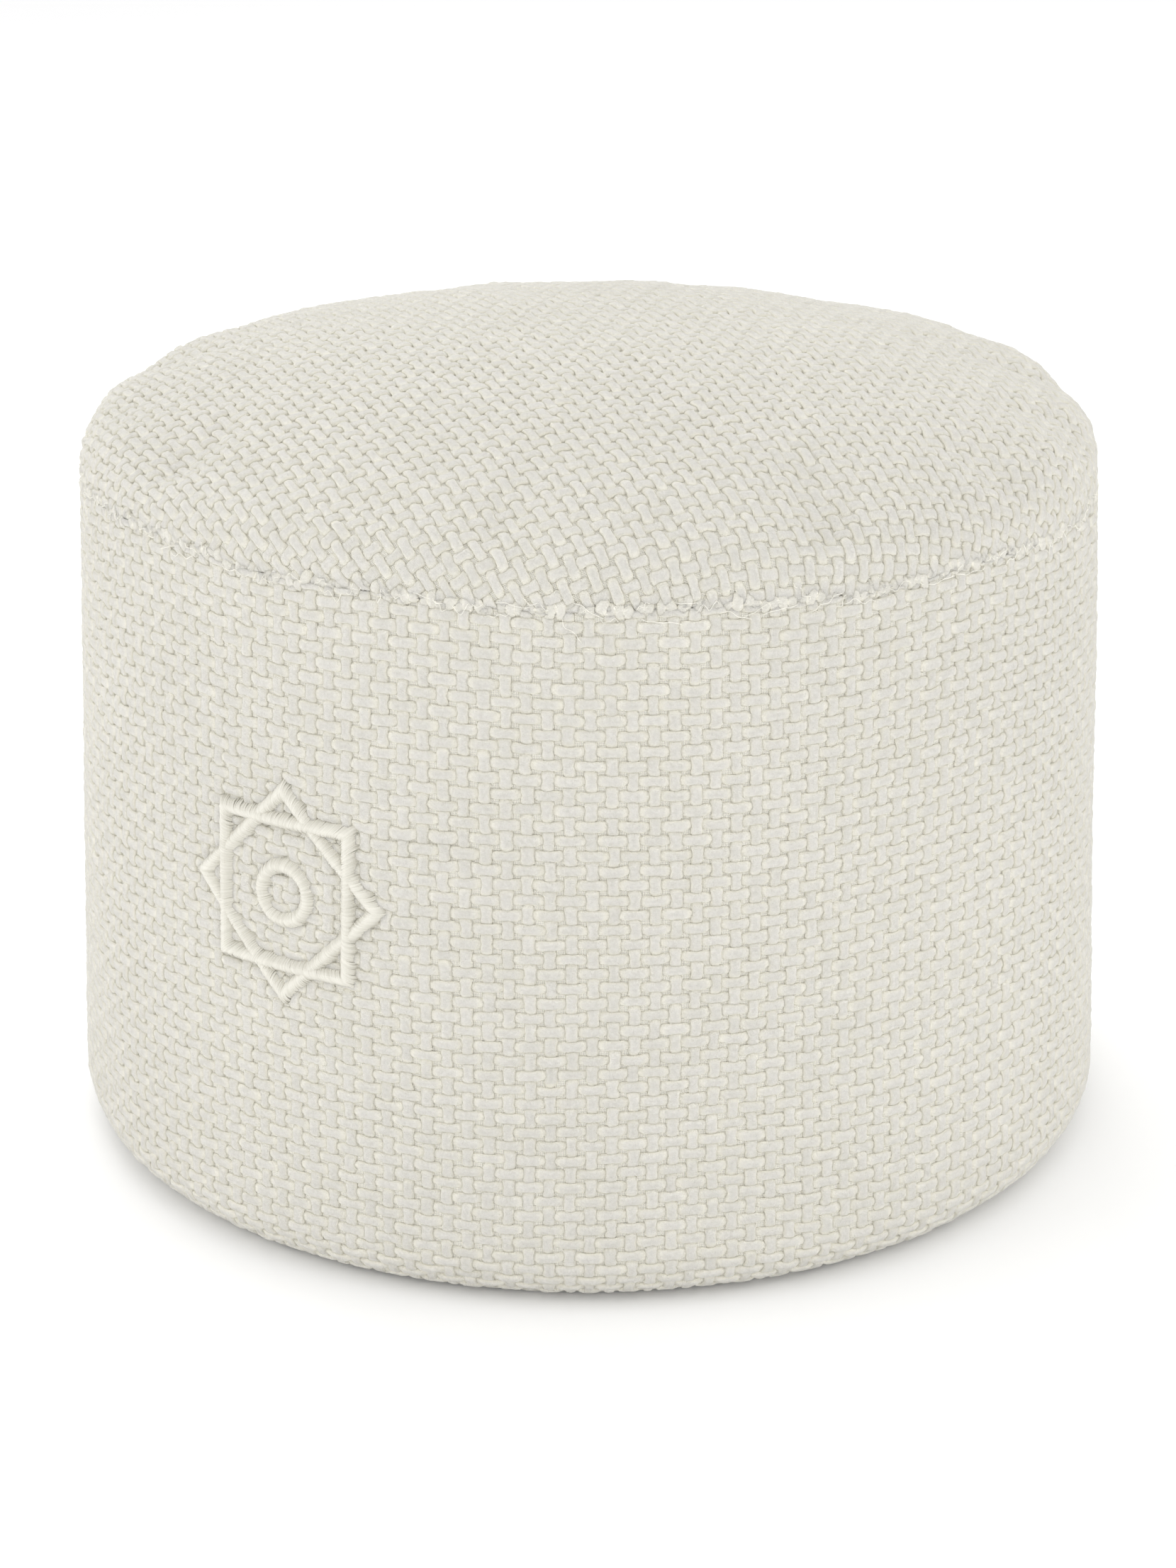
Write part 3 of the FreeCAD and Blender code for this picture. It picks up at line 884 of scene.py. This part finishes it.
def coil(name, low, high, side, shift):
    """One side of the zip: a nylon filament wound into a row of loops."""
    turns = int((high[0] - low[0]) / COIL_PITCH) - 1
    angle = np.arange(turns * COIL_STEPS + 1) * 2 * math.pi / COIL_STEPS
    middle_y = (abs(low[1]) + abs(high[1])) / 2
    reach_y = abs(high[1] - low[1]) / 2 - COIL_WIRE_RADIUS
    reach_z = (high[2] - low[2]) / 2 - COIL_WIRE_RADIUS
    x = low[0] + COIL_WIRE_RADIUS + shift + angle / (2 * math.pi) * COIL_PITCH
    y = side * (middle_y + reach_y * np.cos(angle))
    z = (low[2] + high[2]) / 2 + reach_z * np.sin(angle)
    path = np.stack([x, y, z], -1)[None]
    ups = np.broadcast_to([1.0, 0.0, 0.0], path.shape)
    return add_mesh(name, *tubes(path, ups, COIL_WIRE_RADIUS, sides=8))


top_stitches = ring_stitches("top_seam_stitches", SEAM_REACH, -1.9)
base_stitches = ring_stitches("base_seam_stitches", LENGTH, -1.2)
back_stitches = closing_stitches("back_seam_stitches", -0.9)
zip_threads = add_mesh("zip_thread_rows", *stack([zip_row(-1), zip_row(1)]))
coil_back = coil("coil_back", *extent("zip_coil_back"), 1, 0.0)
coil_front = coil("coil_front", *extent("zip_coil_front"), -1, COIL_PITCH / 2)


# ---- materials


class Surface:
    """A node material built up round one Principled shader."""

    def __init__(self, name, **sockets):
        self.material = bpy.data.materials.new(name)
        self.material.use_nodes = True
        self.tree = self.material.node_tree
        self.shader = self.tree.nodes["Principled BSDF"]
        for key, value in sockets.items():
            self.shader.inputs[key.replace("_", " ")].default_value = value

    def node(self, kind, inputs=(), **settings):
        """Adds a node; inputs are values or output sockets, by the input's place or name."""
        made = self.tree.nodes.new(kind)
        for key, value in settings.items():
            setattr(made, key, value)
        for key, value in dict(inputs).items():
            if isinstance(value, bpy.types.NodeSocket):
                self.tree.links.new(value, made.inputs[key])
            else:
                made.inputs[key].default_value = value
        return made

    def math(self, operation, first, second=0.0):
        node = self.node("ShaderNodeMath", {0: first, 1: second}, operation=operation)
        return node.outputs[0]

    def scaled(self, vector, scale):
        return self.node("ShaderNodeMapping", {"Vector": vector, "Scale": scale}).outputs[0]

    def uv(self, scale=(1, 1, 1)):
        """The piece's own cloth coordinates, in millimetres, stretched by scale."""
        return self.scaled(self.node("ShaderNodeUVMap", uv_map="cloth").outputs[0], scale)

    def place(self, scale=(1, 1, 1)):
        """Object coordinates in metres, stretched by scale."""
        return self.scaled(self.node("ShaderNodeTexCoord").outputs["Object"], scale)

    def axes(self, vector):
        return self.node("ShaderNodeSeparateXYZ", {0: vector}).outputs

    def noise(self, vector, detail=2.0, roughness=0.5):
        inputs = {"Vector": vector, "Scale": 1.0, "Detail": detail, "Roughness": roughness}
        return self.node("ShaderNodeTexNoise", inputs).outputs["Fac"]

    def wave(self, value, pitch):
        """Sine of a length, once round for each pitch."""
        return self.math("SINE", self.math("MULTIPLY", value, 2 * math.pi / pitch))

    def attribute(self, name):
        return self.node("ShaderNodeAttribute", attribute_name=name).outputs["Fac"]

    def ramp(self, factor, low, high, start=0.0, end=1.0):
        """Colour that goes from low to high as factor goes from start to end."""
        node = self.node("ShaderNodeValToRGB", {"Fac": factor})
        stops = node.color_ramp.elements
        stops[0].position, stops[1].position = start, end
        stops[0].color, stops[1].color = (*low, 1), (*high, 1)
        return node.outputs["Color"]

    def mix(self, factor, first, second, mode="MIX"):
        """Colour first where factor is 0, and second put over it where factor is 1."""
        inputs = {0: factor, 6: first, 7: second}
        node = self.node("ShaderNodeMix", inputs, data_type="RGBA", blend_type=mode)
        return node.outputs[2]

    def bump(self, height, distance, **below):
        """Relief of a distance in millimetres; below may give the Normal that it lies on."""
        inputs = {"Height": height, "Distance": distance * MM, **below}
        return self.node("ShaderNodeBump", inputs).outputs["Normal"]

    def finish(self, color, normal=None, roughness=None):
        for key, value in (("Base Color", color), ("Normal", normal), ("Roughness", roughness)):
            if value is not None:
                self.tree.links.new(value, self.shader.inputs[key])
        return self.material

    def mottled(self, factor, low, high, distance):
        """Finishes with one factor as both the colour and the relief."""
        return self.finish(self.ramp(factor, low, high, 0.3, 0.7), self.bump(factor, distance))


def grey(value):
    return (value, value, value)


YARN_SHADE = (0.588, 0.571, 0.528)
YARN_TIP = (0.730, 0.715, 0.677)
# Painted light for the crevices: lighter and yellower than the crowns, offsetting the shade that
# falls there.
VALLEY_PAINTED_LIGHT = (0.900, 0.872, 0.765)
BINDER_COLOUR = (0.91, 0.89, 0.81)


def chenille():
    """Short cut pile on a twisted core: soft mottling, fine ribs across the yarn, and painted light
    that makes the crevices lighter and yellower.
    """
    s = Surface(
        "chenille", Roughness=0.95, Specular_IOR_Level=0.1,
        Sheen_Weight=0.35, Sheen_Roughness=0.5, Sheen_Tint=(1.0, 0.99, 0.94, 1),
        Subsurface_Weight=0.8, Subsurface_Radius=(1.0, 1.0, 1.0), Subsurface_Scale=2.0 * MM,
    )
    s.shader.subsurface_method = "BURLEY"
    mottle = s.noise(s.uv((0.9, 1.2, 1)), 5, 0.7)
    crest = s.ramp(mottle, YARN_SHADE, YARN_TIP, 0.3, 0.7)
    tone = s.ramp(s.attribute("tone"), (0.965, 0.965, 0.955), grey(1.0))
    # Painted light: where crest is low, the colour turns to the lighter valley colour.
    base = s.mix(s.attribute("crest"), (*VALLEY_PAINTED_LIGHT, 1), crest)
    region = s.ramp(s.noise(s.place((9, 9, 9))), grey(0.97), grey(1.0), 0.35, 0.65)
    colour = s.mix(1.0, s.mix(1.0, base, tone, "MULTIPLY"), region, "MULTIPLY")
    ribs = s.noise(s.uv((2.4, 0.8, 1)), 3, 0.6)
    fuzz = s.noise(s.uv((2.8, 2.8, 1)), 4, 0.7)
    return s.finish(colour, s.bump(fuzz, 0.35, Normal=s.bump(ribs, 0.38)))


def binder():
    """Fine warp of shiny thread behind the chenille: narrow ribs, beaded, with painted shade in the
    grooves and painted highlights on the beads.
    """
    rib, bead = 0.46, 0.60
    s = Surface("binder_cloth", Roughness=0.5, Sheen_Weight=0.1)
    across, along = s.axes(s.uv())[:2]
    ribs = s.math("MULTIPLY", s.wave(across, rib), 0.35)
    beads = s.math("MULTIPLY", s.wave(along, bead), 0.2)
    height = s.math("ADD", s.math("ADD", ribs, beads), 0.5)
    # Colour follows the relief: painted shade in the grooves between ribs, painted highlights on
    # the ribs and beads.
    low = [c * 0.80 for c in BINDER_COLOUR]
    high = [c * 1.12 for c in BINDER_COLOUR]
    return s.finish(s.ramp(height, low, high, 0.2, 0.9), s.bump(height, 0.25))


def wisp():
    """Loose ends of the binder thread."""
    s = Surface("binder_wisp", Roughness=0.7, Sheen_Weight=0.2)
    return s.finish(s.ramp(s.attribute("tone"), (0.86, 0.84, 0.76), (0.95, 0.93, 0.86)))


def satin_thread():
    """Glossy machine embroidery thread with its fine twist."""
    s = Surface("satin_thread", Roughness=0.36, Sheen_Weight=0.12)
    colour = s.ramp(s.attribute("tone"), (0.650, 0.631, 0.560), (0.740, 0.721, 0.650))
    twist = s.noise(s.uv((2.2, 1.4, 1)))
    return s.finish(colour, s.bump(twist, 0.08))


def sewing_thread():
    """Spun polyester."""
    s = Surface("sewing_thread", Roughness=0.7, Sheen_Weight=0.2)
    twist = s.noise(s.uv((3.0, 1.0, 1)))
    return s.mottled(twist, (0.66, 0.63, 0.55), (0.80, 0.77, 0.69), 0.1)


def cotton():
    """Plain fine calico of the liner."""
    s = Surface("liner_calico", Roughness=0.9, Sheen_Weight=0.2)
    fine = s.noise(s.place((1400, 1400, 1400)))
    slub = s.noise(s.place((120, 120, 700)), 3)
    colour = s.ramp(slub, (0.70, 0.66, 0.57), (0.80, 0.77, 0.69), 0.35, 0.65)
    return s.finish(colour, s.bump(fine, 0.15))


def tape():
    """Herringbone polyester tape of the zip."""
    bone, rib = 1.6 * MM, 0.55 * MM
    s = Surface("zip_tape_cloth", Roughness=0.75, Sheen_Weight=0.2)
    along, across = s.axes(s.place())[:2]
    diagonal = s.math("ADD", along, s.math("PINGPONG", across, bone))
    ribs = s.math("ADD", s.math("MULTIPLY", s.wave(diagonal, rib), 0.5), 0.5)
    colour = s.ramp(ribs, (0.56, 0.54, 0.47), (0.76, 0.74, 0.67))
    return s.finish(colour, s.bump(ribs, 0.12))


def nylon():
    """The zip's filament."""
    s = Surface("coil_nylon", Roughness=0.38)
    fine = s.noise(s.place((900, 900, 900)))
    return s.mottled(fine, (0.70, 0.68, 0.61), (0.78, 0.76, 0.70), 0.03)


def enamel():
    """Stove enamel over die-cast zinc, rubbed thin in places."""
    s = Surface("zip_enamel", Roughness=0.3)
    grain = s.noise(s.place((1500, 1500, 1500)), 3)
    wear = s.noise(s.place((320, 320, 320)), 5, 0.6)
    colour = s.ramp(wear, (0.70, 0.68, 0.61), (0.78, 0.76, 0.69), 0.35, 0.6)
    rough = s.ramp(grain, grey(0.26), grey(0.42), 0.3, 0.7)
    return s.finish(colour, s.bump(grain, 0.03), rough)


def fleece():
    """Non-woven stabiliser behind the embroidery."""
    s = Surface("stabiliser_fleece", Roughness=0.95)
    fibre = s.noise(s.place((500, 500, 500)), 5, 0.7)
    return s.mottled(fibre, (0.74, 0.74, 0.72), (0.84, 0.84, 0.82), 0.15)


def studio_floor():
    s = Surface("studio_floor", Roughness=0.8, Specular_IOR_Level=0.1)
    haze = s.noise(s.place((3, 3, 3)), 3)
    return s.finish(s.ramp(haze, grey(0.94), grey(0.96)))


MATERIALS = {
    "cover_weave": chenille(),
    "sewing_thread": sewing_thread(),
    "embroidery_thread": satin_thread(),
    "backing": fleece(),
    "zip_tape": tape(),
    "zip_coil": nylon(),
    "zip_metal": enamel(),
    "liner_cotton": cotton(),
}


# ---- dressing the pieces and hiding the CAD parts


def dress(slot, things, material=None):
    for thing in things:
        thing.data.materials.append(material or MATERIALS[slot])
        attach(thing, "pouf")


dress("cover_weave", side_yarns + top_yarns)
dress("cover_weave", base_front_yarns + base_back_yarns + [top_seam_ends])
dress("cover_weave", [backing_side, backing_top, backing_base_front, backing_base_back], binder())
dress("cover_weave", [seam_wisps], wisp())
dress("embroidery_thread", [star, star_ring])
dress("sewing_thread", [top_stitches, base_stitches, back_stitches, zip_threads])
dress("zip_coil", [coil_front, coil_back])
dress("liner_cotton", [core])

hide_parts("cover_side_band")
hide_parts("cover_top_panel")
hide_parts("cover_base_panel_front")
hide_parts("cover_base_panel_back")
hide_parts("embroidery_star")
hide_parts("embroidery_centre")
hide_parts("seam_thread_top")
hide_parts("seam_thread_base")
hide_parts("seam_thread_back")
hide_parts("zip_stitches")
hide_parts("zip_coil_front")
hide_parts("zip_coil_back")
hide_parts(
    "filling", "liner_top_panel", "liner_side_band", "liner_base_panel",
    "liner_thread_top", "liner_thread_base",
)

METAL = ("zip_top_stops", "zip_base_stop", "zip_slider", "zip_pull_tab")
for slot, nodes in (
    ("backing", ("embroidery_backing",)),
    ("zip_tape", ("zip_tape_front", "zip_tape_back")),
    ("zip_metal", METAL),
):
    for node in nodes:
        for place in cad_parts[node].material_slots:
            place.material = MATERIALS[slot]
for node in METAL:
    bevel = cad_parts[node].modifiers.new("rounded edges", "BEVEL")
    bevel.width = EDGE_ROUND * MM
    bevel.segments = 2
    bevel.limit_method = "ANGLE"


# ---- floor, light and camera


def add_floor():
    size = 6.0
    corners = [(-size, -size, 0), (size, -size, 0), (size, size, 0), (-size, size, 0)]
    mesh = bpy.data.meshes.new("studio_floor")
    mesh.from_pydata(corners, [], [(0, 1, 2, 3)])
    mesh.materials.append(studio_floor())
    floor = add_object("studio_floor", mesh)


def add_world(strength):
    world = bpy.data.worlds.new("studio")
    world.use_nodes = True
    background = world.node_tree.nodes["Background"]
    background.inputs["Color"].default_value = (1.0, 1.0, 1.0, 1)
    background.inputs["Strength"].default_value = strength
    bpy.context.scene.world = world


def add_softbox(name, place, aim, size, power):
    light = bpy.data.lights.new(name, "AREA")
    light.shape = "DISK"
    light.size = size
    light.energy = power
    lamp = add_object(name, light)
    lamp.location = place
    direction = np.array(aim) - np.array(place)
    lamp.rotation_euler = (
        math.atan2(math.hypot(direction[0], direction[1]), -direction[2]),
        0,
        math.atan2(-direction[0], direction[1]),
    )


def add_camera(place, down, lens):
    """Camera at place that looks along +Y and down by an angle in degrees."""
    data = bpy.data.cameras.new("camera")
    data.lens = lens
    data.clip_start = 0.01
    camera = add_object("camera", data)
    camera.location = place
    camera.rotation_euler = (math.radians(90 - down), 0, 0)
    bpy.context.scene.camera = camera


add_floor()
add_world(1.03)
add_softbox("softbox_front", (0, -1.25, 0.35), (0, 0, 0.08), 0.6, 1.7)
add_softbox("softbox_left", (-1.35, -0.45, 0.6), (0, 0, 0.1), 1.2, 4.5)
add_softbox("softbox_right", (1.35, -0.45, 0.6), (0, 0, 0.1), 1.2, 4.5)
add_softbox("softbox_above", (-0.4, 0.9, 1.2), (0, 0.1, 0.2), 1.2, 6.5)
add_camera(place=(-0.0003, -0.962, 0.454), down=20.6, lens=80.2)
bpy.context.scene.view_settings.view_transform = "Standard"
